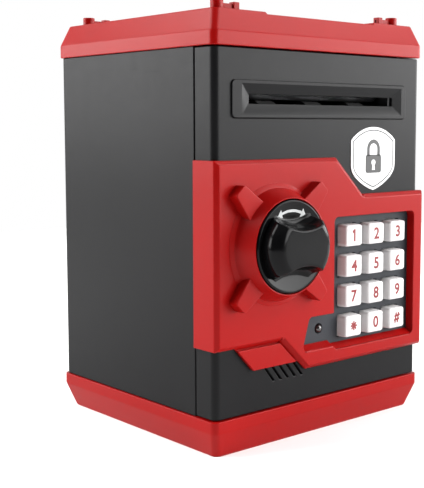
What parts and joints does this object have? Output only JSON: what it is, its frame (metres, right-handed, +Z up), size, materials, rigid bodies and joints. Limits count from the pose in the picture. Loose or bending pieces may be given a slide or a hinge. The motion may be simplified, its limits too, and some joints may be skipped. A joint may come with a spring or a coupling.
{
  "type": "toy safe coin bank",
  "caption": "Small toy safe money box with a front door that carries a push-button keypad, a turning knob that works the bolt, and a motor-driven banknote slot; coin slot in the top.",
  "frame": {"origin": "centre of the flat underside, level with the surface it stands on", "axes": "+Z up, +X to the right seen from the front, the door faces -Y"},
  "size_m": [0.1306, 0.1373, 0.188],
  "materials": {
    "dark_plastic": "fine satin texture",
    "red_plastic": "smooth gloss",
    "black_gloss": "polished",
    "key_white": "smooth gloss with red figures",
    "keypad_grey": "satin",
    "print_white": "printed plate",
    "lamp": "tinted lens",
    "black_plastic": "plain moulded",
    "steel": "plated",
    "rubber": "plain",
    "silicone": "milky silicone",
    "circuit_board": "solder mask",
    "gear_plastic": "natural acetal",
    "brass": "plain",
    "cell_label": "plain sleeve",
    "coil": "taped coil and plated frame"
  },
  "bodies": {
    "case": {"body_shell": "dark_plastic", "base_tray": "red_plastic", "bottom_plate": "red_plastic", "top_cap": "red_plastic", "hinge_pins": "steel", "battery_box": "black_plastic", "batteries": "cell_label", "battery_contacts": "steel", "battery_cover": "red_plastic", "battery_cover_screw": "steel", "base_pads": "rubber", "case_screws": "steel", "cap_screws": "steel", "strike_plate": "black_plastic"},
    "door": {"front_shell": "dark_plastic", "door_panel": "red_plastic", "knob_ring": "red_plastic", "emblem_plate": "print_white", "keypad_plate": "keypad_grey", "key_mat": "silicone", "keypad_board": "circuit_board", "status_lamp": "lamp", "latch_guide": "black_plastic", "solenoid_body": "coil", "main_board": "circuit_board", "speaker": "black_plastic", "feed_bracket": "black_plastic", "feed_motor": "steel", "inner_cover": "dark_plastic", "cover_screws": "steel"},
    "knob": {"knob": "black_gloss", "knob_spindle": "steel", "latch_pinion": "gear_plastic"},
    "bolt": {"latch_bolt": "steel"},
    "plunger": {"solenoid_plunger": "steel"},
    "feed_roller": {"feed_shaft": "steel", "feed_tyres": "rubber", "feed_gear": "gear_plastic"},
    "idler": {"idler_roller": "steel"},
    "pinion": {"motor_pinion": "brass"},
    "key_1": {"key_1": "key_white"},
    "key_2": {"key_2": "key_white"},
    "key_3": {"key_3": "key_white"},
    "key_4": {"key_4": "key_white"},
    "key_5": {"key_5": "key_white"},
    "key_6": {"key_6": "key_white"},
    "key_7": {"key_7": "key_white"},
    "key_8": {"key_8": "key_white"},
    "key_9": {"key_9": "key_white"},
    "key_star": {"key_star": "key_white"},
    "key_0": {"key_0": "key_white"},
    "key_hash": {"key_hash": "key_white"}
  },
  "joints": [
    {"name": "door_hinge", "type": "hinge", "parent": "case", "child": "door", "pos_m": [0.06085, -0.045, 0.092], "axis": [0, 0, 1], "range_deg": [0, 95]},
    {"name": "knob_turn", "type": "hinge", "parent": "door", "child": "knob", "pos_m": [-0.0325, -0.06, 0.0872], "axis": [0, 1, 0], "range_deg": [0, 90]},
    {"name": "bolt_slide", "type": "slide", "parent": "door", "child": "bolt", "axis": [-1, 0, 0], "range_m": [0, 0.00471]},
    {"name": "plunger_slide", "type": "slide", "parent": "door", "child": "plunger", "axis": [0, 0, 1], "range_m": [0, 0.0028]},
    {"name": "feed_spin", "type": "hinge", "parent": "door", "child": "feed_roller", "pos_m": [0, -0.0455, 0.1417], "axis": [1, 0, 0], "continuous": true},
    {"name": "idler_spin", "type": "hinge", "parent": "door", "child": "idler", "pos_m": [0, -0.0455, 0.1521], "axis": [1, 0, 0], "continuous": true},
    {"name": "motor_spin", "type": "hinge", "parent": "door", "child": "pinion", "pos_m": [0, -0.0455, 0.1298], "axis": [1, 0, 0], "continuous": true},
    {"name": "press_key_1", "type": "slide", "parent": "door", "child": "key_1", "axis": [0, 1, 0], "range_m": [0, 0.0012], "stiffness_N_per_m": 300, "springref_m": -0.0006},
    {"name": "press_key_2", "type": "slide", "parent": "door", "child": "key_2", "axis": [0, 1, 0], "range_m": [0, 0.0012], "stiffness_N_per_m": 300, "springref_m": -0.0006},
    {"name": "press_key_3", "type": "slide", "parent": "door", "child": "key_3", "axis": [0, 1, 0], "range_m": [0, 0.0012], "stiffness_N_per_m": 300, "springref_m": -0.0006},
    {"name": "press_key_4", "type": "slide", "parent": "door", "child": "key_4", "axis": [0, 1, 0], "range_m": [0, 0.0012], "stiffness_N_per_m": 300, "springref_m": -0.0006},
    {"name": "press_key_5", "type": "slide", "parent": "door", "child": "key_5", "axis": [0, 1, 0], "range_m": [0, 0.0012], "stiffness_N_per_m": 300, "springref_m": -0.0006},
    {"name": "press_key_6", "type": "slide", "parent": "door", "child": "key_6", "axis": [0, 1, 0], "range_m": [0, 0.0012], "stiffness_N_per_m": 300, "springref_m": -0.0006},
    {"name": "press_key_7", "type": "slide", "parent": "door", "child": "key_7", "axis": [0, 1, 0], "range_m": [0, 0.0012], "stiffness_N_per_m": 300, "springref_m": -0.0006},
    {"name": "press_key_8", "type": "slide", "parent": "door", "child": "key_8", "axis": [0, 1, 0], "range_m": [0, 0.0012], "stiffness_N_per_m": 300, "springref_m": -0.0006},
    {"name": "press_key_9", "type": "slide", "parent": "door", "child": "key_9", "axis": [0, 1, 0], "range_m": [0, 0.0012], "stiffness_N_per_m": 300, "springref_m": -0.0006},
    {"name": "press_key_star", "type": "slide", "parent": "door", "child": "key_star", "axis": [0, 1, 0], "range_m": [0, 0.0012], "stiffness_N_per_m": 300, "springref_m": -0.0006},
    {"name": "press_key_0", "type": "slide", "parent": "door", "child": "key_0", "axis": [0, 1, 0], "range_m": [0, 0.0012], "stiffness_N_per_m": 300, "springref_m": -0.0006},
    {"name": "press_key_hash", "type": "slide", "parent": "door", "child": "key_hash", "axis": [0, 1, 0], "range_m": [0, 0.0012], "stiffness_N_per_m": 300, "springref_m": -0.0006}
  ],
  "couplings": [
    {"joint": "bolt_slide", "follows": "knob_turn", "m_per_rad": 0.003},
    {"joint": "idler_spin", "follows": "feed_spin", "ratio": -1.5},
    {"joint": "motor_spin", "follows": "feed_spin", "ratio": -2.4}
  ]
}
